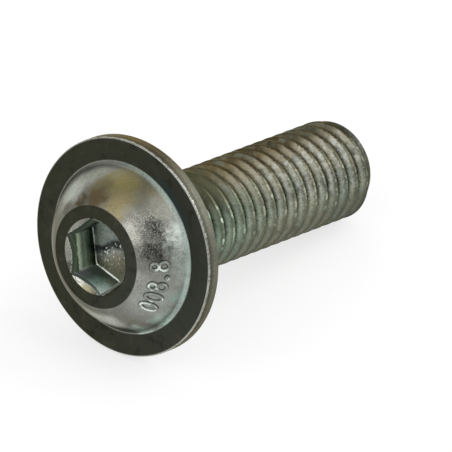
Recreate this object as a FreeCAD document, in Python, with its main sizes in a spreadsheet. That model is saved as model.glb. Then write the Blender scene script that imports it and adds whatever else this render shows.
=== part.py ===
import FreeCAD, Part
import os
import Sketcher

# Flanged button head screw with a hexagon socket, M8 x 25, in millimetres.
# The screw is built about its own axis: bearing face at z = 0, head towards +z,
# thread towards -z. The body is then laid down as a loose screw comes to rest,
# on the rim of its collar and the last crest of its thread.

os.makedirs("parts", exist_ok=True)

vector = FreeCAD.Vector
doc = FreeCAD.newDocument("button_head_screw")

# Driving sizes: lengths in mm, angles in degrees.
SIZES = [
    ("thread_diameter", 8.0),
    ("thread_pitch", 1.25),
    ("thread_flank_angle", 30.0),
    ("thread_depth", 0.8),
    ("thread_overcut", 0.12),
    ("shank_length", 25.0),
    ("tip_chamfer", 0.75),
    ("neck_diameter", 7.2),
    ("neck_length", 1.3),
    ("collar_diameter", 17.45),
    ("collar_thickness", 1.2),
    ("collar_edge_chamfer", 0.15),
    ("head_height", 4.35),
    ("dome_base_diameter", 13.5),
    ("dome_flat_diameter", 8.2),
    ("under_head_chamfer", 0.4),
    ("socket_across_flats", 5.1),
    ("socket_depth", 2.85),
    ("socket_turn", 17.0),
    ("socket_mouth_diameter", 6.3),
    ("socket_floor_angle", 12.0),
    ("runout_angle", 32.0),
]

# Sizes that follow from the driving ones. The thread has 60 degree flanks that
# meet at the root, and its last crest ends where the tip's chamfer starts.
FORMULAS = [
    ("thread_radius", "=thread_diameter / 2"),
    ("root_radius", "=thread_radius - thread_depth"),
    ("groove_reach", "=thread_radius + thread_overcut"),
    ("groove_flare", "=(groove_reach - root_radius) * tan(thread_flank_angle * 1deg)"),
    ("crest_flat", "=thread_pitch - 2 * thread_depth * tan(thread_flank_angle * 1deg)"),
    ("tip_radius", "=thread_radius - tip_chamfer"),
    ("crest_end", "=shank_length - tip_chamfer"),
    ("neck_radius", "=neck_diameter / 2"),
    ("thread_start", "=neck_length + thread_radius - neck_radius"),
    ("groove_first", "=crest_end - crest_flat / 2 + 2 * thread_pitch"),
    ("thread_turns", "=floor((groove_first - thread_start) / thread_pitch)"),
    ("groove_last", "=groove_first - thread_turns * thread_pitch"),
    ("collar_radius", "=collar_diameter / 2"),
    ("dome_base_radius", "=dome_base_diameter / 2"),
    ("dome_flat_radius", "=dome_flat_diameter / 2"),
    ("socket_mouth_radius", "=socket_mouth_diameter / 2"),
    ("socket_inscribed", "=socket_across_flats / 2"),
    ("socket_corner", "=socket_inscribed / cos(30 * 1deg)"),
    ("floor_height", "=head_height - socket_depth"),
    ("floor_point", "=floor_height - socket_inscribed * tan(socket_floor_angle * 1deg)"),
    ("rest_rise", "=collar_radius - thread_radius"),
    ("rest_run", "=crest_end + collar_edge_chamfer"),
    ("rest_dip", "=atan(rest_rise / rest_run) / 1deg"),
    ("rest_height", "=thread_radius * cos(rest_dip * 1deg) + crest_end * sin(rest_dip * 1deg)"),
    ("head_reach", "=dome_flat_radius * sin(rest_dip * 1deg) + head_height * cos(rest_dip * 1deg)"),
    ("tip_reach", "=tip_radius * sin(rest_dip * 1deg) + shank_length * cos(rest_dip * 1deg)"),
    ("rest_shift", "=(head_reach - tip_reach) / 2"),
]

sheet = doc.addObject("Spreadsheet::Sheet", "sizes")
for row, (alias, value) in enumerate(SIZES + FORMULAS, start=1):
    sheet.set("A%d" % row, alias)
    sheet.set("B%d" % row, str(value))
    sheet.setAlias("B%d" % row, alias)
doc.recompute()

def size(alias):
    """A plain number from the sheet."""
    return float(getattr(sheet, alias))


# The sketcher's own numbers: a sketch's two axes, and the points of an edge.
# A sketch's origin is the start of its horizontal axis.
V_AXIS, H_AXIS = range(-2, 0)
START, END, CENTRE = range(1, 4)

# How close a ring's size and height must be to the stated ones, as a share of the pitch.
RING_MATCH = size("thread_pitch") / 1000


def origin_plane(body, role):
    """The body's own origin plane of that role."""
    for feature in body.Origin.OriginFeatures:
        if feature.Role == role:
            return feature
    raise RuntimeError("no origin plane " + role)


def new_sketch(body, name, role):
    """A sketch lying flat on one of the body's origin planes."""
    sketch = body.newObject("Sketcher::SketchObject", name)
    sketch.AttachmentSupport = [(origin_plane(body, role), "")]
    sketch.MapMode = "FlatFace"
    return sketch


def hold(sketch, kind, expression, label, *where):
    """One driving dimension of a sketch, bound to the sheet."""
    value = float(sketch.evalExpression(expression))
    index = sketch.addConstraint(Sketcher.Constraint(kind, *where, value))
    sketch.renameConstraint(index, label)
    sketch.setExpression("Constraints." + label, expression)


def closed_profile(sketch, points, arc_at=None):
    """A closed outline through named points (name, x, y), listed anticlockwise.

    A coordinate is an expression on the sheet, or None where the point lies on the axis.
    The edge that starts at the point arc_at is an arc centred on the screw's axis.
    """
    corners = []
    for name, x, y in points:
        corner = [float(sketch.evalExpression(e)) if e else 0.0 for e in (x, y)]
        corners.append(vector(*corner, 0))
    count = len(points)
    for i, (name, x, y) in enumerate(points):
        first = corners[i]
        last = corners[(i + 1) % count]
        if name == arc_at:
            rise = (first.dot(first) - last.dot(last)) / (2 * (first.y - last.y))
            centre = vector(0, rise, 0)
            circle = Part.Circle(centre, vector(0, 0, 1), (first - centre).Length)
            arc = Part.ArcOfCircle(circle, circle.parameter(first), circle.parameter(last))
            sketch.addGeometry(arc, False)
            sketch.addConstraint(Sketcher.Constraint("PointOnObject", i, CENTRE, V_AXIS))
        else:
            sketch.addGeometry(Part.LineSegment(first, last), False)
    for i, (name, x, y) in enumerate(points):
        sketch.addConstraint(Sketcher.Constraint("Coincident", i, END, (i + 1) % count, START))
        for kind, axis, expression in (("DistanceX", V_AXIS, x), ("DistanceY", H_AXIS, y)):
            if expression:
                hold(sketch, kind, expression, name + kind[-1], H_AXIS, START, i, START)
            else:
                sketch.addConstraint(Sketcher.Constraint("PointOnObject", i, START, axis))
    doc.recompute()


def ring_edges(feature, rings):
    """Names of the circular edges of a feature at the given (radius, height) pairs."""
    names = []
    for index, edge in enumerate(feature.Shape.Edges, start=1):
        if not isinstance(edge.Curve, Part.Circle):
            continue
        centre = edge.Curve.Center
        for radius, height in rings:
            if abs(edge.Curve.Radius - radius) < RING_MATCH and abs(centre.z - height) < RING_MATCH:
                names.append("Edge%d" % index)
    return names


def chamfer_rings(body, name, rings, alias):
    """Chamfer the named rings of the body's last feature by a size from the sheet."""
    base = body.Tip
    chamfer = body.newObject("PartDesign::Chamfer", name)
    chamfer.Base = (base, ring_edges(base, rings))
    chamfer.setExpression("Size", "sizes." + alias)
    doc.recompute()


def revolve_blank(body):
    """Head, neck and shank as one turned outline."""
    sketch = new_sketch(body, "blank_outline", "XZ_Plane")
    closed_profile(sketch, [
        ("tip_centre", None, "-sizes.shank_length"),
        ("tip_edge", "sizes.tip_radius", "-sizes.shank_length"),
        ("tip_crest", "sizes.thread_radius", "-sizes.crest_end"),
        ("first_crest", "sizes.thread_radius", "-sizes.thread_start"),
        ("neck_end", "sizes.neck_radius", "-sizes.neck_length"),
        ("neck_root", "sizes.neck_radius", None),
        ("bearing_rim", "sizes.collar_radius", None),
        ("collar_rim", "sizes.collar_radius", "sizes.collar_thickness"),
        ("dome_foot", "sizes.dome_base_radius", "sizes.collar_thickness"),
        ("dome_rim", "sizes.dome_flat_radius", "sizes.head_height"),
        ("dome_centre", None, "sizes.head_height"),
    ], arc_at="dome_foot")
    blank = body.newObject("PartDesign::Revolution", "blank")
    blank.Profile = sketch
    blank.ReferenceAxis = (sketch, ["V_Axis"])
    blank.Angle = 360
    doc.recompute()


def break_edges(body):
    """The broken edges of the collar, and the slope that strengthens its root."""
    neck, collar, thick = size("neck_radius"), size("collar_radius"), size("collar_thickness")
    chamfer_rings(body, "under_head", [(neck, 0)], "under_head_chamfer")
    chamfer_rings(body, "collar_edges", [(collar, 0), (collar, thick)], "collar_edge_chamfer")


def sink_socket(body):
    """Hexagon socket: countersunk mouth, six flats and a shallow punched floor."""
    mouth = new_sketch(body, "mouth_outline", "XZ_Plane")
    closed_profile(mouth, [
        ("mouth_point", None, "sizes.head_height - sizes.socket_mouth_radius"),
        ("mouth_rim", "sizes.socket_mouth_radius", "sizes.head_height"),
        ("mouth_centre", None, "sizes.head_height"),
    ])
    countersink = body.newObject("PartDesign::Groove", "socket_mouth")
    countersink.Profile = mouth
    countersink.ReferenceAxis = (mouth, ["V_Axis"])
    countersink.Angle = 360
    doc.recompute()

    hexagon = new_sketch(body, "hexagon", "XY_Plane")
    hexagon.setExpression("AttachmentOffset.Base.z", "sizes.head_height")
    hexagon.setExpression("AttachmentOffset.Rotation.Angle", "sizes.socket_turn * 1deg")
    radius = size("socket_corner")
    corners = []
    for step in range(6):
        turn = FreeCAD.Rotation(vector(0, 0, 1), 60 * step)
        corners.append(turn.multVec(vector(radius, 0, 0)))
    for step in range(6):
        hexagon.addGeometry(Part.LineSegment(corners[step], corners[(step + 1) % 6]), False)
    guide = hexagon.addGeometry(Part.Circle(vector(), vector(0, 0, 1), radius), True)
    for step in range(6):
        following = (step + 1) % 6
        hexagon.addConstraint(Sketcher.Constraint("Coincident", step, END, following, START))
        hexagon.addConstraint(Sketcher.Constraint("PointOnObject", step, START, guide))
        if step:
            hexagon.addConstraint(Sketcher.Constraint("Equal", 0, step))
    hexagon.addConstraint(Sketcher.Constraint("Coincident", guide, CENTRE, H_AXIS, START))
    hexagon.addConstraint(Sketcher.Constraint("PointOnObject", 0, START, H_AXIS))
    hold(hexagon, "Radius", "sizes.socket_corner", "corner_radius", guide)
    doc.recompute()
    socket = body.newObject("PartDesign::Pocket", "socket_flats")
    socket.Profile = hexagon
    socket.setExpression("Length", "sizes.socket_depth")
    doc.recompute()

    floor = new_sketch(body, "floor_outline", "XZ_Plane")
    closed_profile(floor, [
        ("floor_point", None, "sizes.floor_point"),
        ("floor_rim", "sizes.socket_inscribed", "sizes.floor_height"),
        ("floor_centre", None, "sizes.floor_height"),
    ])
    cone = body.newObject("PartDesign::Groove", "socket_floor")
    cone.Profile = floor
    cone.ReferenceAxis = (floor, ["V_Axis"])
    cone.Angle = 360
    doc.recompute()


def thread_groove(body, name, height, turns, angle):
    """One helical groove that starts at the given height and climbs towards the head."""
    sketch = new_sketch(body, name + "_outline", "XZ_Plane")
    closed_profile(sketch, [
        ("root", "sizes.root_radius", "-%s" % height),
        ("mouth_low", "sizes.groove_reach", "-%s - sizes.groove_flare" % height),
        ("mouth_high", "sizes.groove_reach", "-%s + sizes.groove_flare" % height),
    ])
    groove = body.newObject("PartDesign::SubtractiveHelix", name)
    groove.Profile = sketch
    groove.ReferenceAxis = (sketch, ["V_Axis"])
    groove.Mode = "pitch-turns-angle"
    groove.setExpression("Pitch", "sizes.thread_pitch")
    groove.setExpression("Turns", turns)
    groove.setExpression("Angle", angle)
    doc.recompute()
    return groove


def cut_thread(body):
    """Right-hand thread from beyond the tip, running out of the shank at the neck."""
    thread_groove(body, "thread", "sizes.groove_first", "sizes.thread_turns", "0")
    thread_groove(body, "thread_runout", "sizes.groove_last", "1", "sizes.runout_angle")


def lay_down(body):
    """Tip the axis down to the resting dip and set the lowest points on z = 0."""
    body.Placement = FreeCAD.Placement(vector(), FreeCAD.Rotation(vector(0, 1, 0), -90))
    body.setExpression("Placement.Rotation.Angle", "(sizes.rest_dip - 90) * 1deg")
    body.setExpression("Placement.Base.x", "sizes.rest_shift")
    body.setExpression("Placement.Base.z", "sizes.rest_height")
    doc.recompute()


def export(body):
    """Check every feature, then write the finished solid."""
    for feature in doc.Objects:
        if "Invalid" in feature.State or "Error" in feature.State:
            raise RuntimeError("feature failed: " + feature.Name)
    shape = body.Shape
    if shape.isNull() or not shape.isValid() or len(shape.Solids) != 1:
        raise RuntimeError("the screw is not one valid solid")
    shape.exportStep("parts/%s.step" % body.Label)


screw = doc.addObject("PartDesign::Body", "screw")
screw.Label = "screw"
revolve_blank(screw)
break_edges(screw)
sink_socket(screw)
cut_thread(screw)
lay_down(screw)
export(screw)
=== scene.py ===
"""A flanged button head screw with a hexagon socket, lying on its collar's rim and its tip."""

from __future__ import annotations

import logging
import math
from collections.abc import Callable, Iterable
from dataclasses import dataclass, field
from enum import Enum

import bmesh
import bpy
from mathutils import Matrix, Vector

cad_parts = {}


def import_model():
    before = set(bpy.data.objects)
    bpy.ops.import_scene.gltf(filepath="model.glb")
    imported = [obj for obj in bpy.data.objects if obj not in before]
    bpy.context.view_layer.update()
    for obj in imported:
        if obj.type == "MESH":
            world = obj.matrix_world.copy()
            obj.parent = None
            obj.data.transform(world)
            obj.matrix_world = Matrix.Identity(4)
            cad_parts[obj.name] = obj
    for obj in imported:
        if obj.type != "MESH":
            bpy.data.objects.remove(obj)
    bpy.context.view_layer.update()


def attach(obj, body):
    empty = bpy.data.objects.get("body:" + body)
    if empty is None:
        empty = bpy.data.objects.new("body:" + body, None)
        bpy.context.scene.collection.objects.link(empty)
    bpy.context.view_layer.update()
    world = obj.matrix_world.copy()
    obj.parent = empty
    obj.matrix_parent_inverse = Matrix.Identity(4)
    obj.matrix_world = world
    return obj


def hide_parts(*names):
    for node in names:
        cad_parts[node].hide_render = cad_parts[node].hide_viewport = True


LOG = logging.getLogger("screw")
MM = 0.001
FULL_TURN = 2.0 * math.pi
NODE = "screw"
BODY = "root"

# A pair is mostly (radius, height) or (across, up) in millimetres.
# A colour is linear red, green and blue in thousandths.
Pair = tuple[float, float]
Place = tuple[float, float, float]
Colour = tuple[float, float, float]
RingRule = Callable[[float], Pair]
Mesh = bmesh.types.BMesh
Edges = list[bmesh.types.BMEdge]
Tree = bpy.types.NodeTree


@dataclass(frozen=True)
class ScrewSizes:
    """The screw's sizes in millimetres, about its own axis with the head towards +z."""

    crest_radius: float = 4.0
    root_radius: float = 3.26
    pitch: float = 1.25
    length: float = 25.0
    tip_chamfer: float = 0.75
    neck_radius: float = 3.6
    neck_length: float = 1.3
    collar_radius: float = 8.725
    collar_thickness: float = 1.2
    collar_chamfer: float = 0.15
    head_height: float = 4.35
    dome_foot: float = 6.75
    dome_rim: float = 4.1
    mouth_radius: float = 3.15
    across_flats: float = 5.1
    socket_depth: float = 2.85
    socket_turn: float = 17.0
    first_crest: float = 0.97

    @property
    def crest_end(self) -> float:
        """Depth at which the last full crest ends."""
        return self.length - self.tip_chamfer

    @property
    def dip(self) -> float:
        """Angle in radians by which the resting screw's axis dips towards the tip."""
        rise = self.collar_radius - self.crest_radius
        return math.atan(rise / (self.crest_end + self.collar_chamfer))

    @property
    def dome_centre(self) -> float:
        """Height of the centre of the dome's sphere on the axis."""
        foot, rim = self.dome_foot**2 + self.collar_thickness**2, self.dome_rim**2 + self.head_height**2
        return (rim - foot) / (2.0 * (self.head_height - self.collar_thickness))

    @property
    def dome_radius(self) -> float:
        """Radius of the dome's sphere."""
        return math.hypot(self.dome_foot, self.collar_thickness - self.dome_centre)

    def resting(self) -> Matrix:
        """Lay the screw down on its collar's rim and the last crest.

        Returns:
            The transform from the screw's own millimetres to the scene, in metres.
        """
        dip = self.dip
        lift = self.crest_radius * math.cos(dip) + self.crest_end * math.sin(dip)
        head = self.dome_rim * math.sin(dip) + self.head_height * math.cos(dip)
        tip_radius = self.crest_radius - self.tip_chamfer
        tip = tip_radius * math.sin(dip) + self.length * math.cos(dip)
        place = Matrix.Translation(Vector(((head - tip) / 2.0, 0.0, lift)) * MM)
        turn = Matrix.Rotation(dip - math.pi / 2.0, 4, "Y")
        return place @ turn @ Matrix.Scale(MM, 4)


@dataclass
class Shank:
    """The threaded shank as one helical sheet from the neck to the tip.

    The half crest, the flank's end and the ease are shares of the pitch. The rest is in millimetres.
    """

    sizes: ScrewSizes
    columns: int = 96
    half_crest: float = 0.085
    flank_end: float = 0.4
    ease: float = 0.035
    crest_drops: Pair = (0.006, 0.04)
    root_lifts: Pair = (0.07, 0.015)
    neck_fade: Pair = (1.4, -0.1)
    tip_fade: float = 0.35
    neck_top: float = 0.35
    dish: tuple[Pair, ...] = ((0.12, 0.0), (0.5, 0.03), (2.65, 0.16))
    weld: float = 0.0008
    snap: float = 0.0004

    def section(self) -> list[Pair]:
        """Draw one pitch of the thread, with rounded crest and root.

        Returns:
            The points from one crest's middle to the next.
        """
        s, p = self.sizes, self.sizes.pitch
        half_crest, flank_end, ease = self.half_crest * p, self.flank_end * p, self.ease * p
        falling = [
            (s.crest_radius, 0.0),
            (s.crest_radius - self.crest_drops[0], half_crest),
            (s.crest_radius - self.crest_drops[1], half_crest + ease),
            (s.root_radius + self.root_lifts[0], flank_end - 0.6 * ease),
            (s.root_radius + self.root_lifts[1], flank_end + ease),
        ]
        rising = [(radius, p - height) for radius, height in reversed(falling)]
        return [*falling, (s.root_radius, 0.5 * p), *rising]

    def blank_radius(self, z: float) -> float:
        """Find the radius of the unthreaded blank.

        Args:
            z: A height, negative below the bearing face.

        Returns:
            The radius there.
        """
        s = self.sizes
        if z > -s.neck_length:
            return s.neck_radius
        taper = s.crest_radius - s.neck_radius
        rising = s.neck_radius + (-s.neck_length - z)
        falling = s.crest_radius - s.tip_chamfer + (z + s.length)
        return max(min(s.crest_radius, rising, falling), s.crest_radius - s.tip_chamfer - taper)

    def groove_fade(self, z: float) -> float:
        """Find how far the groove has run out.

        Args:
            z: A height, negative below the bearing face.

        Returns:
            0 at full depth, 1 where there is no groove.
        """
        s = self.sizes
        start, end = (-(s.neck_length + depth) for depth in self.neck_fade)
        at_tip = smooth_step(-(s.crest_end - self.tip_fade), -s.length, z)
        return max(smooth_step(start, end, z), at_tip)

    def build(self, bm: Mesh) -> Edges:
        """Make the thread and close the tip.

        Args:
            bm: The mesh that takes the shank.

        Returns:
            The open ring of edges at the neck.
        """
        s = self.sizes
        turns = math.ceil(s.length / s.pitch) + 2
        start = math.radians(s.socket_turn)
        low = (start / FULL_TURN - turns + 1) * s.pitch - s.first_crest
        verts = []
        for radius, height in self.section():
            spot = Vector((radius * math.cos(start), radius * math.sin(start), low + height))
            verts.append(bm.verts.new(spot))
        edges = [bm.edges.new(pair) for pair in zip(verts, verts[1:])]
        bmesh.ops.spin(
            bm, geom=verts + edges, cent=(0, 0, 0), axis=(0, 0, 1),
            dvec=(0, 0, s.pitch / self.columns), angle=FULL_TURN, steps=self.columns, use_merge=False,
        )
        one_turn = bm.verts[:] + bm.edges[:] + bm.faces[:]
        for turn in range(1, turns):
            copy = bmesh.ops.duplicate(bm, geom=one_turn)["geom"]
            moved = [item for item in copy if isinstance(item, bmesh.types.BMVert)]
            bmesh.ops.translate(bm, verts=moved, vec=(0, 0, turn * s.pitch))
        bmesh.ops.remove_doubles(bm, verts=bm.verts[:], dist=self.weld)
        for vert in bm.verts:
            x, y, z = vert.co
            radius = math.hypot(x, y)
            blank = self.blank_radius(z)
            wanted = min(radius, blank)
            wanted += (blank - wanted) * self.groove_fade(z)
            vert.co.x, vert.co.y = x * wanted / radius, y * wanted / radius
        for height, normal in ((self.neck_top - s.neck_length, 1.0), (-s.length, -1.0)):
            bmesh.ops.bisect_plane(
                bm, geom=bm.verts[:] + bm.edges[:] + bm.faces[:], dist=self.snap,
                plane_co=(0, 0, height), plane_no=(0, 0, normal), clear_outer=True,
            )
        rims = [edge for edge in bm.edges if edge.is_boundary]
        middle = -s.length / 2.0
        neck = [edge for edge in rims if edge.verts[0].co.z > middle]
        self.close_tip(bm, [edge for edge in rims if edge.verts[0].co.z < middle])
        return neck

    def close_tip(self, bm: Mesh, rim: Edges) -> None:
        """Close the tip with a shallow dished end.

        Args:
            bm: The mesh.
            rim: The open ring of edges at the tip.
        """
        s = self.sizes
        tip = s.crest_radius - s.tip_chamfer
        edges = extrude_rings(bm, rim, [turned(tip - inset, rise - s.length) for inset, rise in self.dish])
        bmesh.ops.edgeloop_fill(bm, edges=edges)


def smooth_step(start: float, end: float, value: float) -> float:
    """A smooth rise from 0 at start to 1 at end."""
    x = min(max((value - start) / (end - start), 0.0), 1.0)
    return x * x * (3.0 - 2.0 * x)


def turned(radius: float, height: float) -> RingRule:
    """A ring rule with the same radius and height at every angle."""
    return lambda angle: (radius, height)


def extrude_rings(
    bm: Mesh, edges: Edges, rules: Iterable[RingRule]
) -> Edges:
    """Extrude an open ring of edges again and again.

    Args:
        bm: The mesh.
        edges: The ring to start from.
        rules: One function for each new ring, from an angle to its (radius, height).

    Returns:
        The last ring's edges.
    """
    for rule in rules:
        made = bmesh.ops.extrude_edge_only(bm, edges=edges)["geom"]
        edges = [item for item in made if isinstance(item, bmesh.types.BMEdge)]
        for vert in {v for edge in edges for v in edge.verts}:
            angle = math.atan2(vert.co.y, vert.co.x)
            radius, height = rule(angle)
            vert.co = Vector((radius * math.cos(angle), radius * math.sin(angle), height))
        edges = [edge for edge in edges if edge.is_boundary]
    return edges


@dataclass
class Head:
    """Collar, dome and hexagon socket, grown from the neck's open ring.

    Angles are in degrees. The foot's, rim's and lip's eases are shares of the round or break they soften.
    """

    sizes: ScrewSizes
    neck_ring: float = 0.45
    fillet: float = 0.4
    collar_round: float = 0.15
    foot_round: float = 0.22
    rim_round: float = 0.22
    round_steps: int = 6
    dome_steps: int = 22
    flat_start: float = 0.1
    under_rings: tuple[float, ...] = (5.2, 6.8, 8.0)
    upper_rings: tuple[float, ...] = (8.0, 7.5)
    foot_ease: tuple[Pair, ...] = ((1.1, 0.0), (0.35, 0.1), (0.02, 0.45))
    rim_ease: tuple[Pair, ...] = ((0.02, 0.12), (1.0, 0.0))
    top_ring: Pair = (0.35, 0.2)
    mouth_inset: float = 0.06
    mouth_shift: float = 0.07
    mouth_shift_angle: float = 70.0
    mouth_ease: tuple[Pair, ...] = ((0.03, 0.0), (-0.01, 0.02))
    mouth_break: float = 0.07
    lip_ease: tuple[Pair, ...] = ((1.0, 0.0), (0.28, 0.25))
    least_fall: float = 0.03
    corner_sharpness: float = 120.0
    wall_levels: tuple[float, ...] = (0.0, 0.12, 0.3, 0.5, 0.7, 0.9, 1.0)
    wall_foot: Pair = (0.06, 0.05)
    floor_edge: Pair = (0.1, 0.01)
    floor_rings: tuple[float, ...] = (2.0, 1.4, 0.8, 0.25)
    floor_angle: float = 12.0

    def outline(self) -> list[Pair]:
        """Draw the turned outline.

        Returns:
            The points from the neck to the countersink's rim.
        """
        s = self.sizes
        thick, collar, e, steps = s.collar_thickness, s.collar_radius, self.collar_round, self.round_steps
        points = [(s.neck_radius, -self.neck_ring)]
        points += arc((s.neck_radius + self.fillet, -self.fillet), self.fillet, 180.0, 90.0, steps)
        points += [(radius, 0.0) for radius in (*self.under_rings, collar - e - self.flat_start)]
        points += arc((collar - e, e), e, -90.0, 0.0, steps)
        points += arc((collar - e, thick - e), e, 0.0, 90.0, steps)
        points += [(radius, thick) for radius in (collar - e - self.flat_start, *self.upper_rings)]
        points += self.dome()
        outer, inner = self.top_ring
        points += [(s.dome_rim - outer, s.head_height), (s.mouth_radius + inner, s.head_height)]
        return points

    def dome(self) -> list[Pair]:
        """Draw the dome's meridian, with its foot eased into the collar and its rim rounded.

        Returns:
            The points from foot to rim.
        """
        s = self.sizes
        centre, radius = s.dome_centre, s.dome_radius
        foot, rim = self.foot_round, self.rim_round
        first = math.asin((s.collar_thickness - centre) / radius) + foot / radius
        last = math.asin((s.head_height - centre) / radius) - rim / radius
        points = [(s.dome_foot + foot * out, s.collar_thickness + foot * up) for out, up in self.foot_ease]
        for i in range(self.dome_steps + 1):
            a = first + (last - first) * i / self.dome_steps
            points.append((radius * math.cos(a), centre + radius * math.sin(a)))
        points += [(s.dome_rim - rim * inward, s.head_height - rim * down) for inward, down in self.rim_ease]
        return points

    def mouth(self, angle: float) -> float:
        """Radius of the countersink's rim, which was struck a little off centre."""
        shift = self.mouth_shift * math.cos(angle + math.radians(self.mouth_shift_angle))
        return self.sizes.mouth_radius - self.mouth_inset - shift

    def cone_height(self, angle: float, radius: float) -> float:
        """Height of the countersink's cone."""
        return self.sizes.head_height - max(self.mouth(angle) - radius, self.least_fall)

    def flat_radius(self, angle: float) -> float:
        """Find the distance from the axis to the socket's wall, with eased corners.

        Args:
            angle: The angle about the axis, in radians.

        Returns:
            The distance.
        """
        s = self.sizes
        local = (angle - math.radians(s.socket_turn)) % (math.pi / 3.0)
        power = self.corner_sharpness
        near = math.cos(local - math.pi / 6.0) ** power
        side = math.cos(local + math.pi / 6.0) ** power
        other = math.cos(local - math.pi / 2.0) ** power
        return s.across_flats / 2.0 / (near + side + other) ** (1.0 / power)

    def socket_rules(self) -> list[RingRule]:
        """List the rings over the countersink, down the socket's walls and over its floor.

        Returns:
            One rule for each ring.
        """
        s = self.sizes
        top, deep = s.head_height, s.head_height - s.socket_depth
        slack = self.mouth_break
        foot_inset, foot_height = self.wall_foot

        def at_mouth(out: float, down: float) -> RingRule:
            """A ring beside the countersink's rim."""
            return lambda angle: (self.mouth(angle) + out, top - down)

        def at_wall(out: float, down: float, share: float = 0.0) -> RingRule:
            """Make a ring on the socket's wall or on its broken upper edge.

            Args:
                out: How far out from the wall, as a share of the break.
                down: How far below the countersink, as a share of the break.
                share: How far down from there to the wall's foot.

            Returns:
                The ring's rule.
            """
            def rule(angle: float) -> Pair:
                """The ring's place at an angle."""
                radius = self.flat_radius(angle) + slack * out
                edge = self.cone_height(angle, radius) - slack * down
                return radius, edge + (deep + foot_height - edge) * share
            return rule

        rules = [at_mouth(*ease) for ease in self.mouth_ease]
        rules += [at_wall(*ease) for ease in self.lip_ease]
        rules += [at_wall(0.0, 1.0, share) for share in self.wall_levels]
        rules.append(lambda angle: (self.flat_radius(angle) - foot_inset, deep))
        floor = s.across_flats / 2.0 - self.floor_edge[0]
        slope = math.tan(math.radians(self.floor_angle))
        rules.append(turned(floor, deep - self.floor_edge[1]))
        rules += [turned(radius, deep - (floor - radius) * slope) for radius in self.floor_rings]
        return rules

    def build(self, bm: Mesh, neck: Edges) -> None:
        """Grow the head.

        Args:
            bm: The mesh that already holds the shank.
            neck: The shank's open ring.
        """
        rings = [turned(radius, height) for radius, height in self.outline()]
        edges = extrude_rings(bm, neck, rings + self.socket_rules())
        bmesh.ops.edgeloop_fill(bm, edges=edges)


def arc(
    centre: Pair, radius: float, start: float, end: float, count: int
) -> list[Pair]:
    """Points of an arc.

    Args:
        centre: The arc's centre as (radius, height).
        radius: The arc's own radius.
        start: First angle in degrees.
        end: Last angle in degrees.
        count: How many steps.

    Returns:
        The points from start to end.
    """
    points = []
    for i in range(count + 1):
        a = math.radians(start + (end - start) * i / count)
        points.append((centre[0] + radius * math.cos(a), centre[1] + radius * math.sin(a)))
    return points


class Glyph(Enum):
    """Plain raised characters, as strokes of (across, up) points in a box one high."""

    ZERO = "0"
    EIGHT = "8"
    DOT = "."

    def strokes(self) -> list[list[Pair]]:
        """Draw the character.

        Returns:
            Its closed strokes, each of which ends where it starts.
        """
        if self is Glyph.ZERO:
            return [oval(0.0, 0.5, 0.195, 0.42, 22)]
        if self is Glyph.EIGHT:
            return [oval(0.0, 0.73, 0.165, 0.19, 16), oval(0.0, 0.29, 0.2, 0.23, 16)]
        return [oval(0.0, 0.12, 0.045, 0.045, 8)]


def oval(x: float, y: float, half_width: float, half_height: float, count: int) -> list[Pair]:
    """A closed oval stroke.

    Args:
        x: Centre across.
        y: Centre upwards.
        half_width: Half the width.
        half_height: Half the height.
        count: How many points.

    Returns:
        The points, the first one repeated at the end.
    """
    points = []
    for i in range(count + 1):
        a = FULL_TURN * i / count
        points.append((x + half_width * math.cos(a), y + half_height * math.sin(a)))
    return points


@dataclass
class Numerals:
    """Raised numerals round the dome, their tops towards the socket."""

    sizes: ScrewSizes
    text: tuple[tuple[Glyph, float], ...] = (
        (Glyph.ZERO, -118.5), (Glyph.ZERO, -108.2), (Glyph.EIGHT, -97.5),
        (Glyph.DOT, -89.0), (Glyph.EIGHT, -79.5),
    )
    foot_radius: float = 5.98
    height: float = 1.66
    bead: float = 0.178
    dot_growth: float = 1.1
    sides: int = 8
    sink: float = 0.02
    flatness: float = 0.82

    def on_dome(self, centre: float, across: float, up: float) -> tuple[Vector, Vector]:
        """A point on the dome and the dome's outward direction there.

        Args:
            centre: The character's angle about the axis, in degrees.
            across: Distance to the right along the dome, in millimetres.
            up: Distance from the foot line towards the socket, in millimetres.

        Returns:
            The point and the unit normal.
        """
        s = self.sizes
        radius = s.dome_radius
        tilt = math.acos(self.foot_radius / radius) + up / radius
        turn = math.radians(centre) + across / (radius * math.cos(tilt))
        normal = Vector((math.cos(tilt) * math.cos(turn), math.cos(tilt) * math.sin(turn), math.sin(tilt)))
        return Vector((0.0, 0.0, s.dome_centre)) + normal * radius, normal

    def build(self, bm: Mesh) -> None:
        """Raise every stroke as a low bead.

        Args:
            bm: The mesh that takes the beads.
        """
        for glyph, centre in self.text:
            size = self.bead * (self.dot_growth if glyph is Glyph.DOT else 1.0)
            for stroke in glyph.strokes():
                self.bead_along(bm, centre, stroke, size)

    def bead_along(self, bm: Mesh, centre: float, stroke: list[Pair], size: float) -> None:
        """Lay one closed bead, sunk to its middle in the dome.

        Args:
            bm: The mesh.
            centre: The character's angle about the axis, in degrees.
            stroke: The stroke's points in the character's box.
            size: Half the bead's width.
        """
        rings = []
        points = [(x * self.height, y * self.height) for x, y in stroke[:-1]]
        squash = Matrix.Diagonal((1.0, self.flatness, 1.0, 1.0))
        for i, point in enumerate(points):
            spot, normal = self.on_dome(centre, *point)
            ahead, _ = self.on_dome(centre, *points[(i + 1) % len(points)])
            behind, _ = self.on_dome(centre, *points[i - 1])
            along = (ahead - behind).normalized()
            side = normal.cross(along).normalized()
            basis = Matrix((side, normal, along)).transposed().to_4x4()
            shape = Matrix.Translation(spot - normal * self.sink) @ basis @ squash
            made = bmesh.ops.create_circle(bm, cap_ends=False, segments=self.sides, radius=size, matrix=shape)
            rings.append(list({edge for vert in made["verts"] for edge in vert.link_edges}))
        for i, ring in enumerate(rings):
            bmesh.ops.bridge_loops(bm, edges=ring + rings[(i + 1) % len(rings)])


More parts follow.
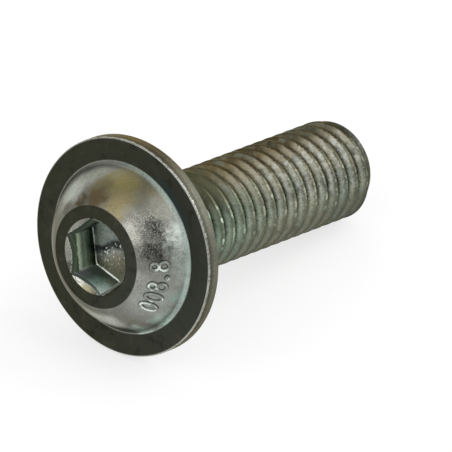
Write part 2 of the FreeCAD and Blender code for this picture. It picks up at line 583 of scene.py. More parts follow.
@dataclass
class Screw:
    """The whole screw as one piece. Edges over the sharp angle, in degrees, aren't smoothed."""

    sizes: ScrewSizes = field(default_factory=ScrewSizes)
    sharp_angle: float = 38.0

    def build(self) -> bpy.types.Object:
        """Build the mesh and lay it down.

        Returns:
            The screw's object, at the origin, with its place in its mesh.
        """
        bm = bmesh.new()
        neck = Shank(self.sizes).build(bm)
        Head(self.sizes).build(bm, neck)
        bmesh.ops.recalc_face_normals(bm, faces=bm.faces[:])
        body_faces = len(bm.faces)
        Numerals(self.sizes).build(bm)
        bm.faces.ensure_lookup_table()
        bmesh.ops.recalc_face_normals(bm, faces=bm.faces[body_faces:])
        bmesh.ops.transform(bm, matrix=self.sizes.resting(), verts=bm.verts[:])
        mesh = bpy.data.meshes.new("screw")
        bm.to_mesh(mesh)
        bm.free()
        mesh.polygons.foreach_set("use_smooth", [True] * len(mesh.polygons))
        mesh.set_sharp_from_angle(angle=math.radians(self.sharp_angle))
        piece = bpy.data.objects.new("plated_screw", mesh)
        bpy.context.scene.collection.objects.link(piece)
        LOG.info("screw: %d faces", len(mesh.polygons))
        return piece


class Wire:
    """A shader socket that takes part in Python expressions."""

    def __init__(self, tree: Tree, socket: bpy.types.NodeSocket) -> None:
        """Wrap a socket of a tree."""
        self.tree = tree
        self.socket = socket

    def math(self, operation: str, *values: Wire | float) -> Wire:
        """A Math node on this socket and other values."""
        return node(self.tree, "Math", {"operation": operation}, [self, *values])

    def __add__(self, other: Wire | float) -> Wire:
        """Sum."""
        return self.math("ADD", other)

    __radd__ = __add__

    def __mul__(self, other: Wire | float) -> Wire:
        """Product."""
        return self.math("MULTIPLY", other)

    __rmul__ = __mul__

    def __sub__(self, other: Wire | float) -> Wire:
        """Difference."""
        return self.math("SUBTRACT", other)

    def __rsub__(self, other: float) -> Wire:
        """Difference, the other way round."""
        return node(self.tree, "Math", {"operation": "SUBTRACT"}, [other, self])

    def __truediv__(self, other: Wire | float) -> Wire:
        """Quotient."""
        return self.math("DIVIDE", other)

    def __pow__(self, other: Wire | float) -> Wire:
        """Power."""
        return self.math("POWER", other)

    def most(self, other: Wire | float) -> Wire:
        """The larger of the two."""
        return self.math("MAXIMUM", other)

    def clamp(self) -> Wire:
        """This value held between 0 and 1."""
        return node(self.tree, "Clamp", {}, [self, 0.0, 1.0])

    def band(self, low: float, high: float) -> Wire:
        """A smooth step from 0 at low to 1 at high."""
        settings = {"interpolation_type": "SMOOTHSTEP"}
        return node(self.tree, "MapRange", settings, [self, low, high, 0.0, 1.0])


def node(
    tree: Tree, kind: str, settings: dict[str, object], values: list | dict, output: int | str = 0
) -> Wire:
    """Add one shader node.

    Args:
        tree: The node tree.
        kind: The node's type, without ShaderNode in front.
        settings: Its properties, such as a Math node's operation, or "ramp" for a ramp's stops.
        values: Its inputs by place or by name, each a number, a colour or a wire.
        output: Which output is wanted.

    Returns:
        The wanted output.
    """
    made = tree.nodes.new("ShaderNode" + kind)
    for name, value in settings.items():
        if name == "ramp":
            elements = made.color_ramp.elements
            while len(elements) < len(value):
                elements.new(0.5)
            for element, (place, colour) in zip(elements, value):
                element.position = place
                element.color = (*colour, 1.0)
        else:
            setattr(made, name, value)
    pairs = values.items() if isinstance(values, dict) else enumerate(values)
    for key, value in pairs:
        if value is None:
            continue
        socket = made.inputs[key]
        if isinstance(value, Wire):
            tree.links.new(value.socket, socket)
        elif isinstance(value, tuple) and len(value) == 3 and socket.type == "RGBA":
            socket.default_value = (*value, 1.0)
        else:
            socket.default_value = value
    return Wire(tree, made.outputs[output])


def linear(colour: Wire | Colour) -> Wire | Colour:
    """A colour in thousandths as shaders take it. A wire stays as it is."""
    return colour if isinstance(colour, Wire) else tuple(part / 1000.0 for part in colour)


def ramp(value: Wire, stops: tuple[tuple[float, Colour], ...]) -> Wire:
    """A colour ramp of (place, colour) stops."""
    stops = [(place, linear(colour)) for place, colour in stops]
    return node(value.tree, "ValToRGB", {"ramp": stops}, [value])


class Film:
    """A colour that is covered layer by layer. Each layer is one Mix node that bears its name."""

    def __init__(self, tree: Tree, colour: Wire | Colour) -> None:
        """Start from a first colour."""
        self.tree = tree
        self.colour = linear(colour)

    def cover(self, name: str, mask: Wire | float, colour: Wire | Colour, mode: str = "MIX") -> Wire:
        """Lay another colour over what is there.

        Args:
            name: What the layer is.
            mask: Where it lies, 0 for not at all and 1 for fully.
            colour: Its colour.
            mode: How it blends.

        Returns:
            The colour with this layer on it.
        """
        settings = {"label": name, "data_type": "RGBA", "blend_type": mode, "clamp_factor": True}
        values = {0: mask, 6: self.colour, 7: linear(colour)}
        self.colour = node(self.tree, "Mix", settings, values, 2)
        return self.colour


@dataclass(frozen=True)
class HeadPatch:
    """A patch of another colour on the head, at a place given by radius, angle and height. Most are stains;
    some are painted highlights.
    """

    radius: float
    angle: float
    height: float
    size: float
    colour: Colour
    strength: float = 1.0
    edge: float = 0.2

    @property
    def centre(self) -> Place:
        """The patch's centre in the screw's own millimetres."""
        a = math.radians(self.angle)
        return self.radius * math.cos(a), self.radius * math.sin(a), self.height


# Most patches are stains. Painted highlights: the pale band at 50°, the pale patch beside the socket at -44°
# and the bright foot at -64°; at -150° and -128° teal film carries a painted highlight.
STAINS_AND_PAINTED_HIGHLIGHTS = (
    HeadPatch(5.5, 50.0, 2.9, 2.5, (500, 530, 480), 0.95),
    HeadPatch(6.2, 27.0, 2.2, 1.7, (290, 310, 270), 0.8),
    HeadPatch(5.9, -4.0, 2.7, 2.5, (285, 250, 108), 1.0),
    HeadPatch(4.7, -12.0, 3.9, 1.9, (330, 280, 145), 1.0),
    HeadPatch(5.5, 12.0, 3.1, 1.6, (190, 165, 80), 0.85),
    HeadPatch(4.5, 12.0, 4.0, 1.1, (150, 105, 45), 0.85, 0.3),
    HeadPatch(4.5, 31.0, 4.0, 1.1, (95, 68, 32), 0.85, 0.3),
    HeadPatch(4.3, 52.0, 4.1, 1.1, (110, 100, 75), 0.65, 0.2),
    HeadPatch(6.4, -22.0, 1.8, 1.6, (190, 170, 100), 0.8),
    HeadPatch(4.4, -44.0, 4.1, 1.3, (500, 490, 430), 0.95, 0.3),
    HeadPatch(5.0, -28.0, 3.7, 1.1, (300, 288, 238), 0.8, 0.3),
    HeadPatch(5.9, -36.0, 2.6, 1.3, (225, 225, 182), 0.8),
    HeadPatch(6.5, -64.0, 1.7, 1.9, (600, 665, 620), 0.95, 0.3),
    HeadPatch(6.5, -84.0, 1.6, 1.7, (370, 415, 385), 0.9),
    HeadPatch(5.4, -112.0, 3.2, 2.8, (345, 360, 338), 0.85, 0.3),
    HeadPatch(4.4, -92.0, 4.1, 1.0, (380, 385, 355), 0.9),
    HeadPatch(6.6, -150.0, 1.5, 1.6, (620, 750, 680), 0.9),
    HeadPatch(6.65, -128.0, 1.4, 1.6, (440, 580, 510), 0.9),
    HeadPatch(6.7, -104.0, 1.4, 1.2, (280, 370, 330), 0.8),
)


@dataclass(frozen=True)
class PlatedSteel:
    """Zinc plated steel with an uneven, stained film, and light and shade painted into its colour. The peel's
    depth is in millimetres.
    """

    sizes: ScrewSizes
    edge_tint: Colour = (530, 500, 420)
    base_roughness: float = 0.3
    cloud_roughness: float = 0.16
    flat_roughness: float = 0.05
    mouth_roughness: float = 0.35
    bead_polish: float = 0.14
    peel_scale: float = 3.6
    peel_detail: float = 3.0
    peel_depth: float = 0.06
    peel_strength: float = 0.5

    def make(self) -> bpy.types.Material:
        """Build the material.

        Returns:
            The finished material.
        """
        material = bpy.data.materials.new("stained_zinc_and_painted_light")
        material.use_nodes = True
        tree = material.node_tree
        tree.nodes.clear()
        out = tree.nodes.new("ShaderNodeOutputMaterial")
        zones = PartColours(self.sizes, tree, self.own_place(tree))
        shader = node(
            tree, "BsdfPrincipled", {},
            {
                "Base Color": zones.whole(), "Metallic": 1.0, "Specular Tint": linear(self.edge_tint),
                "Roughness": self.roughness(zones), "Normal": self.relief(zones),
            },
        )
        tree.links.new(shader.socket, out.inputs["Surface"])
        return material

    def own_place(self, tree: Tree) -> Wire:
        """Map object coordinates back to the screw's own millimetres, about its own axis.

        Args:
            tree: The material's nodes.

        Returns:
            The place on the screw.
        """
        back = self.sizes.resting().inverted()
        coordinates = node(tree, "TexCoord", {}, [], "Object")
        return node(
            tree, "Mapping", {"vector_type": "POINT"},
            {
                "Vector": coordinates, "Location": tuple(back.to_translation()),
                "Rotation": tuple(back.to_euler()), "Scale": (1.0 / MM,) * 3,
            },
        )

    def roughness(self, zones: Zones) -> Wire:
        """Make the film duller in clouds, on the flat faces and in the socket's mouth.

        Args:
            zones: Where each part of the screw is.

        Returns:
            The roughness.
        """
        mouth = zones.socket * zones.height.band(2.2, 3.1) * self.mouth_roughness
        dull = zones.cloud * self.cloud_roughness + zones.dark_faces * self.flat_roughness + mouth
        return self.base_roughness + dull - zones.bead_foot * self.bead_polish

    def relief(self, zones: Zones) -> Wire:
        """Raise the plating's orange peel, strongest on the rough spot beside the socket.

        Args:
            zones: Where each part of the screw is.

        Returns:
            The normal.
        """
        peel = zones.noise(self.peel_scale, self.peel_detail) + zones.fine * 0.4
        height = peel * (0.35 + zones.spot((3.3, -4.2, 3.4), 3.0, 0.2) * 1.5)
        values = {"Strength": self.peel_strength, "Distance": self.peel_depth * MM, "Height": height}
        return node(zones.tree, "Bump", {}, values, "Normal")


class Zones:
    """Masks and patterns in the screw's own millimetres, shared by the film's parts."""

    def __init__(self, sizes: ScrewSizes, tree: Tree, place: Wire) -> None:
        """Split the place into its coordinates and make the shared patterns and masks.

        Args:
            sizes: The screw's sizes.
            tree: The material's nodes.
            place: The place on the screw.
        """
        self.sizes = sizes
        self.tree = tree
        self.place = place
        self.x = node(tree, "SeparateXYZ", {}, [place])
        self.y = Wire(tree, self.x.socket.node.outputs[1])
        self.height = Wire(tree, self.x.socket.node.outputs[2])
        self.radius = (self.x * self.x + self.y * self.y) ** 0.5
        self.cloud = self.noise(0.9, 4.0)
        self.grain = self.noise(6.0, 2.0)
        self.fine = self.noise(11.0, 2.0)
        shift = node(tree, "TexNoise", {}, {"Vector": place, "Scale": 1.1, "Detail": 3.0}, "Color")
        shift = self.vector("SUBTRACT", [shift, (0.5, 0.5, 0.5)])
        shift = self.vector("MULTIPLY", [shift, (1.9, 1.9, 1.9)])
        self.wandering = self.vector("ADD", [place, shift])
        self.mark_head()
        self.mark_socket()

    def mark_head(self) -> None:
        """Mark the flat faces, the collar's side and the numerals."""
        s, height, radius = self.sizes, self.height, self.radius
        over = height.band(s.collar_thickness - 0.05, s.collar_thickness - 0.01)
        face = over * radius.band(s.dome_foot + 0.1, s.dome_foot + 0.22)
        face = face * (1.0 - radius.band(s.collar_radius - 0.14, s.collar_radius - 0.1))
        ring = height.band(s.head_height - 0.05, s.head_height - 0.02)
        # The flat faces, whose near black holds a painted dark reflection.
        self.dark_faces = (face + ring).clamp()
        side = radius.band(s.collar_radius - 0.12, s.collar_radius - 0.06)
        self.collar_side = side * height.band(-0.2, -0.05)
        rise = self.vector("DISTANCE", [self.place, (0.0, 0.0, s.dome_centre)], "Value") - s.dome_radius
        on_dome = height.band(s.collar_thickness + 0.3, s.collar_thickness + 0.4)
        self.bead_top = rise.band(0.08, 0.118) * on_dome
        self.bead_foot = rise.band(0.006, 0.02) * on_dome

    def mark_socket(self) -> None:
        """Mark the countersink, the socket and the edges of its mouth and floor."""
        s, height = self.sizes, self.height
        half = s.across_flats / 2.0
        inside = 1.0 - self.radius.band(s.mouth_radius + 0.02, s.mouth_radius + 0.04)
        within = inside * height.band(0.5, 0.6)
        flats = [self.along(s.socket_turn + 30.0 + 60.0 * k).math("ABSOLUTE") for k in range(3)]
        from_axis = flats[0].most(flats[1]).most(flats[2])
        film = from_axis + (self.cloud - 0.5) * 0.12
        # The socket's colours reach about 0.2 mm past the flats onto the countersink's cone, where that strip
        # is painted as shade.
        beyond = film.band(half + 0.19, half + 0.22)
        self.countersink = within * beyond
        self.socket = within * (1.0 - beyond)
        edge = film.band(half + 0.17, half + 0.2) * (1.0 - film.band(half + 0.24, half + 0.27))
        self.mouth_edge = within * edge * height.band(3.55, 3.65)
        self.floor_edge = self.socket * from_axis.band(half - 0.14, half - 0.11)
        # The band past the broken edge that is painted as shade.
        self.mouth_shade_band = self.socket * from_axis.band(half + 0.02, half + 0.04)

    def vector(self, operation: str, values: list, output: int | str = 0) -> Wire:
        """A Vector Math node."""
        return node(self.tree, "VectorMath", {"operation": operation}, values, output)

    def along(self, angle: float) -> Wire:
        """Distance from the axis in a direction square to it."""
        a = math.radians(angle)
        return self.x * math.cos(a) + self.y * math.sin(a)

    def noise(self, scale: float, detail: float) -> Wire:
        """Noise of a size given in waves per millimetre."""
        values = {"Vector": self.place, "Scale": scale, "Detail": detail, "Roughness": 0.55}
        return node(self.tree, "TexNoise", {"noise_dimensions": "3D"}, values)

    def facing(self, angle: float, low: float, high: float) -> Wire:
        """A side's mask: a step over the cosine of how far round a place is from an angle."""
        return (self.along(angle) / self.radius.most(0.05)).band(low, high)

    def spot(self, centre: Place, size: float, edge: float) -> Wire:
        """A round patch with a wandering edge.

        Args:
            centre: Its centre in millimetres.
            size: Its radius in millimetres.
            edge: The share of the radius over which it stays full.

        Returns:
            1 at the centre, falling to 0 at the radius.
        """
        away = self.vector("DISTANCE", [self.wandering, centre], "Value")
        return 1.0 - away.band(edge * size, size)


class PartColours(Zones):
    """The base colours, part by part: the film's own colours, with painted light and shade among them."""

    def whole(self) -> Wire:
        """Put the parts' colours together.

        Returns:
            The base colour.
        """
        film = Film(self.tree, self.shank_colour())
        film.cover("head", self.height.band(0.02, 0.3), self.head_colour())
        film.cover("collar's side", self.collar_side, self.side_colour())
        film.cover("dark specks", self.fine.band(0.54, 0.68) * 0.4, (70, 70, 58))
        film.cover("pale grain", self.grain.band(0.62, 0.74) * 0.25, (420, 420, 380))
        film.cover("countersink", self.countersink, self.cone_colour())
        film.cover("socket", self.socket, self.socket_colour())
        glints = self.mouth_edge * self.grain.band(0.42, 0.58)
        film.cover("mouth's glints", glints * 0.5, (700, 720, 640))
        # The flat faces near black: dark film with a painted dark reflection on it.
        return film.cover("flat faces", self.dark_faces, self.flat_film_and_reflection_colour())

    def cone_colour(self) -> Wire:
        """Colour the countersink: its film changes with the side it faces, with a painted glare on one side
        and painted shade in front.

        Returns:
            The countersink's colour.
        """
        cone = Film(self.tree, (330, 335, 285))
        cone.cover("straw", self.facing(182.0, 0.8, 0.97), (500, 465, 310))
        glare = self.facing(146.0, 0.95, 0.995) * self.grain.band(0.35, 0.5)
        cone.cover("glare", glare, (750, 770, 700))
        cone.cover("dark gap", self.facing(126.0, 0.985, 0.998) * 0.8, (60, 65, 52))
        cone.cover("rust brown", self.facing(208.0, 0.93, 0.99), (215, 110, 55))
        # Painted shade on the front of the cone.
        cone.cover("dark front", self.facing(-110.0, 0.2, 0.62), (55, 55, 36))
        return cone.cover("specks", self.fine.band(0.5, 0.6) * 0.4, (100, 90, 70))

    def flat_film_and_reflection_colour(self) -> Wire:
        """Colour the flat faces on the collar and round the mouth near black: partly their own dark film,
        partly a painted dark reflection.

        Returns:
            The flat faces' colour.
        """
        dark = Film(self.tree, (37, 38.5, 26.5))
        dark.cover("greener front", self.facing(-100.0, -0.2, 0.9), (42.5, 46.5, 35.5))
        dark.cover("pale clouds", self.cloud.band(0.54, 0.7) * 0.6, (60, 59, 43))
        dark.cover("dark clouds", self.cloud.band(0.46, 0.32) * 0.6, (20, 21, 16))
        dark.cover("pale specks", self.fine.band(0.64, 0.72) * 0.4, (110, 110, 90))
        streak = self.facing(-38.0, 0.9, 0.99) * self.radius.band(7.8, 7.1) * self.radius.band(6.5, 6.8)
        return dark.cover("teal streak", streak * 0.7, (33, 54, 56))

    def shank_colour(self) -> Wire:
        """Colour the thread: its painted light and shade from root to crest, times a tint, with painted flank
        highlights and dark ends on it.

        Returns:
            The shank's colour.
        """
        s = self.sizes
        relief = (self.radius - s.root_radius) / (s.crest_radius - s.root_radius)
        relief = relief + (self.grain - 0.5) * 0.5 + (self.cloud - 0.5) * 0.35
        film = Film(self.tree, self.thread_painted_shading(relief))
        film.cover("tint", 1.0, self.thread_tint(), "MULTIPLY")
        # Painted highlights in patches on the flanks below the crests, strongest towards the tip.
        frost = relief.band(0.25, 0.55) * relief.band(1.0, 0.8) * self.facing(-47.0, 0.66, 0.96)
        frost = frost * (0.22 + self.noise(2.2, 4.0).band(0.44, 0.6) * 0.5)
        frost = frost * (0.25 + self.height.band(-10.5, -17.0) * 0.75)
        film.cover("frost", frost, (600, 610, 560))
        film.cover("dark clouds", self.cloud.band(0.48, 0.34) * 0.5, (70, 75, 56))
        film.cover("dark grain", self.grain.band(0.66, 0.72) * 0.8, (20, 20, 17))
        neck = (self.height + (self.cloud - 0.5) * 3.0).band(-9.8, -6.9) * self.facing(-2.0, 0.6, 0.84)
        neck = neck.most(self.height.band(-2.1, -1.2))
        film.cover("dark olive neck", neck * 0.85, (90, 96, 55))
        tip = self.height.band(-s.crest_end + 0.9, -s.crest_end + 0.1)
        return film.cover("dark tip", tip * 0.75, (55, 60, 46))

    def thread_painted_shading(self, relief: Wire) -> Wire:
        """Paint light and shade onto the thread, dark in its roots and pale on its flanks, in another way on
        its upper and lower sides.

        Args:
            relief: The height of the thread, from 0 in the root to 1 on the crest, made uneven.

        Returns:
            The thread's tone before it is tinted.
        """
        # Each ramp runs from painted shade in the root to a painted highlight on the flank, dimmer again on
        # the crest.
        upper = ramp(relief, (
            (0.0, (14, 14, 10)), (0.12, (60, 58, 43)), (0.3, (160, 156, 125)),
            (0.54, (330, 324, 275)), (0.86, (350, 340, 290)), (1.0, (160, 152, 122)),
        ))
        middle = ramp(relief, (
            (0.0, (10, 12, 9)), (0.14, (40, 46, 34)), (0.27, (140, 157, 130)),
            (0.58, (410, 450, 395)), (0.8, (270, 288, 242)), (1.0, (180, 187, 152)),
        ))
        lower = ramp(relief, (
            (0.0, (12, 13, 10)), (0.12, (65, 68, 58)), (0.3, (160, 164, 144)),
            (0.7, (250, 254, 224)), (1.0, (130, 133, 115)),
        ))
        tone = Film(self.tree, middle)
        tone.cover("upper side", self.facing(-12.0, 0.55, 0.86), upper)
        tone.cover("lower side", self.facing(-160.0, 0.15, 0.75), lower)
        crest = self.sizes.crest_radius
        glint = self.radius.band(crest - 0.04, crest - 0.012) * self.noise(1.7, 2.0).band(0.5, 0.62)
        glint = glint * (0.45 + self.height.band(-8.0, -6.0) * 0.5) * self.height.band(-0.6, -1.2)
        return tone.cover("crests' glints", glint * self.facing(-72.0, 0.84, 0.98), (740, 780, 660))

    def thread_tint(self) -> Wire:
        """Tint the thread: straw below, brown above, green near the head and grey at the tip.

        Returns:
            The colour that the tone is multiplied by.
        """
        crest = self.sizes.crest_radius
        tint = Film(self.tree, (870, 865, 745))
        tint.cover("brown top", self.facing(20.0, 0.52, 0.98), (660, 510, 275))
        edge = self.facing(44.0, 0.52, 0.88) * self.height.band(-6.0, -16.0)
        tint.cover("dark brown far edge", edge * 0.9, (270, 205, 100))
        tint.cover("grey tip", self.height.band(-17.0, -22.0) * 0.6, (500, 540, 470))
        patches = self.noise(0.55, 3.0)
        tint.cover("green patches", patches.band(0.5, 0.64) * 0.5, (840, 1000, 930))
        tint.cover("straw patches", patches.band(0.5, 0.36) * 0.5, (950, 900, 720))
        near = self.facing(-85.0, 0.55, 0.95) * self.height.band(-14.0, -7.0)
        tint.cover("green near the head", near * 0.6, (720, 960, 840))
        crest_patches = self.radius.band(crest - 0.07, crest - 0.03) * self.facing(24.0, 0.35, 0.75)
        return tint.cover("brown crests", crest_patches * self.height.band(-2.0, -4.0) * 0.85, (300, 245, 150))

    def head_colour(self) -> Wire:
        """Colour the dome: its stained film with painted highlights on it, painted sparkle on the rough spot,
        the dark speckled patch, and the numerals with painted shade and highlights.

        Returns:
            The dome's colour.
        """
        fine = self.fine
        head = Film(self.tree, (200, 205, 178))
        head.cover("pale clouds", self.cloud.band(0.38, 0.62), (262, 265, 235))
        # Stains and painted highlights from the table.
        for stain in STAINS_AND_PAINTED_HIGHLIGHTS:
            mask = self.spot(stain.centre, stain.size, stain.edge) * stain.strength
            head.cover("stain", mask, stain.colour)
        # Teal film at the dome's foot, with a painted highlight on it.
        foot = self.radius.band(6.56, 6.7) * self.facing(-60.0, 0.15, 0.75)
        head.cover("teal foot", foot * 0.6, (460, 580, 530))
        shine = self.radius.band(4.5, 5.2) * self.radius.band(6.3, 5.8) * self.facing(-175.0, 0.91, 0.985)
        head.cover("pale shine", shine * 0.75, (860, 900, 840))
        left = self.facing(125.0, 0.55, 0.95) * self.radius.band(4.3, 5.0)
        head.cover("pale far side", left * 0.6, (520, 520, 460))
        mottle = self.grain.band(0.44, 0.62) * self.cloud.band(0.42, 0.6)
        head.cover("brown mottle", mottle * 0.35, (120, 112, 92))
        rough = self.spot((3.0, -4.0, 3.6), 3.0, 0.4)
        head.cover("rough spot's pits", rough * fine.band(0.47, 0.4) * 0.55, (110, 104, 86))
        # Painted sparkle: pale specks on the rough spot.
        head.cover("rough spot's specks", rough * fine.band(0.54, 0.62) * 0.6, (740, 730, 670))
        patch = self.spot((3.62, -4.31, 3.02), 1.35, 0.15).most(self.spot((2.1, -4.95, 3.25), 1.55, 0.2))
        patch = patch * (0.58 + self.grain.band(0.36, 0.58) * 0.4)
        head.cover("dark patch", patch, (30, 32, 30))
        # More painted sparkle, over the dark patch.
        head.cover("dark patch's specks", rough * fine.band(0.58, 0.66) * 0.35, (700, 700, 650))
        # The numerals: painted shade on their sides, their own grey on their tops, and painted highlights in
        # patches on the tops.
        head.cover("numerals' dark foot", self.bead_foot * 0.7, (75, 82, 76))
        head.cover("numerals' grey top", self.bead_top * 0.65, (340, 370, 340))
        crest_patches = self.bead_top * self.noise(1.35, 2.0).band(0.46, 0.58)
        return head.cover("numerals' worn top", crest_patches * 0.9, (840, 920, 860))

    def side_colour(self) -> Wire:
        """Colour the collar's side: grey and brown, then a dark band, then a painted highlight along the edge
        in front.

        Returns:
            The side's colour.
        """
        thick = self.sizes.collar_thickness
        side = Film(self.tree, (155, 162, 128))
        side.cover("brown far side", self.facing(35.0, 0.2, 0.9), (165, 128, 66))
        side.cover("straw clouds", self.cloud.band(0.42, 0.65) * 0.6, (220, 200, 150))
        side.cover("dark grain", self.grain.band(0.5, 0.62) * 0.4, (60, 60, 46))
        side.cover("brown patches", self.noise(0.7, 3.0).band(0.54, 0.64) * 0.3, (210, 180, 120))
        front = self.height + (self.grain - 0.5) * 0.3
        side.cover("dark band", front.band(0.55, 0.85) * 0.72, (62, 62, 50))
        # A painted highlight in patches along the rounded edge in front.
        crest_patches = front.band(thick - 0.16, thick - 0.1) * self.fine.band(0.36, 0.52)
        return side.cover("worn line", crest_patches, (500, 490, 440))

    def socket_colour(self) -> Wire:
        """Colour the socket: its walls, its floor, and painted shade over the broken edge at its mouth.

        Returns:
            The colour inside the socket.
        """
        deep = self.sizes.head_height - self.sizes.socket_depth
        walls = self.wall_colour()
        edge = Film(self.tree, (50, 66, 46)).cover("wall", 0.12, walls)
        inside = Film(self.tree, walls)
        # Painted shade over the broken edge at the mouth and the strip of cone next to it.
        inside.cover("dark broken edge", self.mouth_shade_band * 0.9, edge)
        return inside.cover("floor", self.height.band(deep + 0.1, deep + 0.04), self.floor_colour())

    def wall_colour(self) -> Wire:
        """Colour the socket's walls: green, with painted sheens on the left and the lower wall, painted shade
        low down, and pale hidden walls that throw light onto them.

        Returns:
            The walls' colour.
        """
        s = self.sizes
        ripple = self.cloud - 0.5
        depth = (s.head_height - self.height + ripple * 0.7 + (self.grain - 0.5) * 0.25) / s.socket_depth
        # Painted light on the left wall: a pale strip near the top and a sheen lower down, with painted shade
        # deep down.
        left = ramp(depth, (
            (0.14, (170, 230, 150)), (0.24, (150, 220, 130)), (0.31, (920, 1000, 860)),
            (0.38, (800, 920, 740)), (0.49, (280, 360, 270)), (0.61, (540, 620, 560)),
            (0.78, (170, 240, 160)), (0.9, (35, 50, 32)),
        ))
        across = self.along(s.socket_turn + 60.0)
        # A painted sheen across the lower wall, brightest towards one end.
        sheen = ramp((across + ripple * 1.2) / -2.94 + 0.5, (
            (0.0, (260, 280, 280)), (0.32, (200, 250, 240)), (0.58, (420, 580, 520)),
            (0.84, (840, 1000, 940)), (1.0, (700, 860, 780)),
        ))
        lower = Film(self.tree, sheen)
        # Painted shade towards the foot of the lower wall.
        lower.cover("dark foot", depth.band(0.6, 0.9) * 0.75, (170, 205, 190))
        lower.cover("dark grain", self.grain.band(0.5, 0.64) * 0.35, (150, 175, 170))
        lower.cover("teal glow", across.band(-0.7, -1.3) * depth.band(0.62, 0.3), (880, 1000, 960))
        walls = Film(self.tree, (170, 210, 160))
        # The walls out of sight are made pale, so that they throw more light onto the walls in view.
        walls.cover("pale hidden walls", self.facing(s.socket_turn - 90.0, 0.0, 0.05), (900, 970, 900))
        walls.cover("left wall", self.facing(s.socket_turn + 90.0, 0.862, 0.87), left)
        walls.cover("lower wall", self.facing(s.socket_turn + 150.0, 0.862, 0.87), lower.colour)
        # A painted highlight down the corner between the left and the lower wall.
        corner = self.facing(s.socket_turn + 120.0, 0.999, 0.9998) * depth.band(0.25, 0.4)
        corner = corner * (1.0 - depth.band(0.6, 0.9))
        return walls.cover("bright corner", corner * 0.6, (850, 900, 840))

    def floor_colour(self) -> Wire:
        """Colour the socket's floor: straw and grey, with a dark band across it, pale specks and a painted
        highlight on its rim.

        Returns:
            The floor's colour.
        """
        across = self.along(26.0)
        floor_tones = ramp((across + (self.cloud - 0.5) * 1.6) / 5.2 + 0.5, (
            (0.0, (260, 245, 165)), (0.32, (250, 236, 168)), (0.42, (300, 310, 280)),
            (0.48, (110, 122, 114)), (0.51, (26, 30, 29)), (0.58, (22, 26, 25)),
            (0.64, (250, 282, 262)), (1.0, (340, 390, 355)),
        ))
        floor = Film(self.tree, floor_tones)
        floor.cover("dark grain", self.grain.band(0.46, 0.62) * 0.5, (100, 110, 98))
        specks = self.noise(5.0, 1.5).band(0.6, 0.68) * (1.0 - across.band(0.1, 0.5))
        specks = specks * across.band(-1.9, -0.9)
        floor.cover("pale specks", specks * 0.85, (800, 840, 780))
        # A painted highlight along part of the floor's rim.
        rim = self.floor_edge * self.facing(160.0, 0.78, 0.95) * self.grain.band(0.3, 0.5)
        rim = rim * (1.0 - across.band(-0.3, 0.9) * 0.8)
        return floor.cover("pale rim", rim * 0.8, (840, 880, 820))


@dataclass(frozen=True)
class Lamp:
    """A square soft lamp: where it stands and its side, in metres, and its power in watts."""

    name: str
    place: Place
    side: float = 0.6
    power: float = 0.8


LAMPS = (Lamp("key", (0.15, -0.35, 0.6)), Lamp("fill", (0.3, 0.5, 0.5)))


@dataclass(frozen=True)
class Panel:
    """A brighter round part of the sky: the cosines off its direction where it starts and is full."""

    toward: Place
    start: float
    full: float
    strength: float


PANELS = (
    Panel((-0.8, 0.1, 0.58), 0.8, 0.96, 1.0),
    Panel((0.8, -0.4, 0.4), 0.78, 0.97, 1.3),
    Panel((0.46, 0.88, 0.05), 0.7, 0.98, 0.9),
    Panel((0.2, -0.6, 0.77), 0.75, 0.97, 1.0),
    Panel((-0.64, -0.55, 0.54), 0.88, 0.99, 0.3),
)


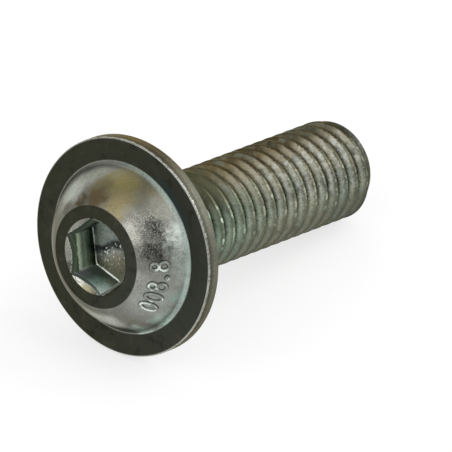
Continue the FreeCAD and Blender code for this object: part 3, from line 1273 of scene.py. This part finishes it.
@dataclass
class Studio:
    """Floor, lamps, sky and camera, in metres. The camera's place and sensor are in millimetres."""

    azimuth: float = -49.258
    elevation: float = 32.697
    focal_pixels: float = 11858.702
    picture: float = 452.0
    sensor: float = 36.0
    nearest: float = 0.01
    farthest: float = 20.0
    camera_place: Place = (-586.802, -506.337, 502.758)
    floor_half: float = 3.0
    floor_grey: float = 0.96
    floor_roughness: float = 0.9
    floor_lift: float = 0.7
    sky_light: float = 0.5

    def floor(self) -> None:
        """A pale floor that keeps the screw's shadow."""
        bm = bmesh.new()
        bmesh.ops.create_grid(bm, x_segments=1, y_segments=1, size=self.floor_half)
        mesh = bpy.data.meshes.new("floor")
        bm.to_mesh(mesh)
        bm.free()
        floor = bpy.data.objects.new("floor", mesh)
        bpy.context.scene.collection.objects.link(floor)
        material = bpy.data.materials.new("pale_floor")
        material.use_nodes = True
        shader = material.node_tree.nodes["Principled BSDF"]
        shader.inputs["Base Color"].default_value = (self.floor_grey,) * 3 + (1.0,)
        shader.inputs["Roughness"].default_value = self.floor_roughness
        shader.inputs["Specular IOR Level"].default_value = 0.0
        self.whiten(material.node_tree, shader)
        mesh.materials.append(material)

    def whiten(self, tree: Tree, shader: bpy.types.ShaderNode) -> None:
        """Lift the floor part of the way to plain white where it is seen or reflected.

        Args:
            tree: The floor material's nodes.
            shader: Its surface shader.
        """
        seen = node(tree, "LightPath", {}, [], "Is Camera Ray")
        seen = seen.most(Wire(tree, seen.socket.node.outputs["Is Glossy Ray"]))
        white = node(tree, "Emission", {}, {"Color": (1.0, 1.0, 1.0), "Strength": 1.0})
        shaders = [seen * self.floor_lift, Wire(tree, shader.outputs[0]), white]
        mixed = node(tree, "MixShader", {}, shaders)
        tree.links.new(mixed.socket, tree.nodes["Material Output"].inputs["Surface"])

    def light(self, lamp: Lamp) -> None:
        """Set up a lamp, aimed at the screw.

        Args:
            lamp: The lamp's description.
        """
        data = bpy.data.lights.new(lamp.name, "AREA")
        data.shape = "SQUARE"
        data.size = lamp.side
        data.energy = lamp.power
        made = bpy.data.objects.new(lamp.name, data)
        turn = Vector(lamp.place).to_track_quat("Z", "Y").to_matrix().to_4x4()
        made.matrix_world = Matrix.Translation(lamp.place) @ turn
        bpy.context.scene.collection.objects.link(made)

    def sky(self) -> None:
        """Soft light from all round, with brighter panels."""
        world = bpy.data.worlds.new("studio")
        bpy.context.scene.world = world
        world.use_nodes = True
        tree = world.node_tree
        way = node(tree, "TexCoord", {}, [], "Generated")
        light: Wire | float = self.sky_light
        for panel in PANELS:
            unit = tuple(Vector(panel.toward).normalized())
            facing = node(tree, "VectorMath", {"operation": "DOT_PRODUCT"}, [way, unit], "Value")
            light = facing.band(panel.start, panel.full) * panel.strength + light
        back = tree.nodes["Background"]
        back.inputs["Color"].default_value = (1.0, 1.0, 1.0, 1.0)
        tree.links.new(light.socket, back.inputs["Strength"])

    def camera(self) -> None:
        """The photograph's viewpoint: a long lens from the upper front left."""
        data = bpy.data.cameras.new("camera")
        data.sensor_width = self.sensor
        data.lens = self.focal_pixels / self.picture * data.sensor_width
        data.clip_start, data.clip_end = self.nearest, self.farthest
        camera = bpy.data.objects.new("camera", data)
        azimuth, elevation = math.radians(self.azimuth), math.radians(self.elevation)
        turn = Matrix.Rotation(azimuth, 4, "Z") @ Matrix.Rotation(math.pi / 2.0 - elevation, 4, "X")
        camera.matrix_world = Matrix.Translation(Vector(self.camera_place) * MM) @ turn
        bpy.context.scene.collection.objects.link(camera)
        bpy.context.scene.camera = camera

    def build(self) -> None:
        """Set up everything round the screw."""
        self.floor()
        self.sky()
        for lamp in LAMPS:
            self.light(lamp)
        self.camera()
        bpy.context.scene.view_settings.view_transform = "Standard"
        LOG.info("studio: floor, sky, %d lamps and the camera", len(LAMPS))


def main() -> None:
    """Build the screw and its studio."""
    logging.basicConfig(level=logging.INFO)
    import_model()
    sizes = ScrewSizes()
    piece = Screw(sizes).build()
    piece.data.materials.append(PlatedSteel(sizes).make())
    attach(piece, BODY)
    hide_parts(NODE)
    Studio().build()


if __name__ == "__main__":
    main()
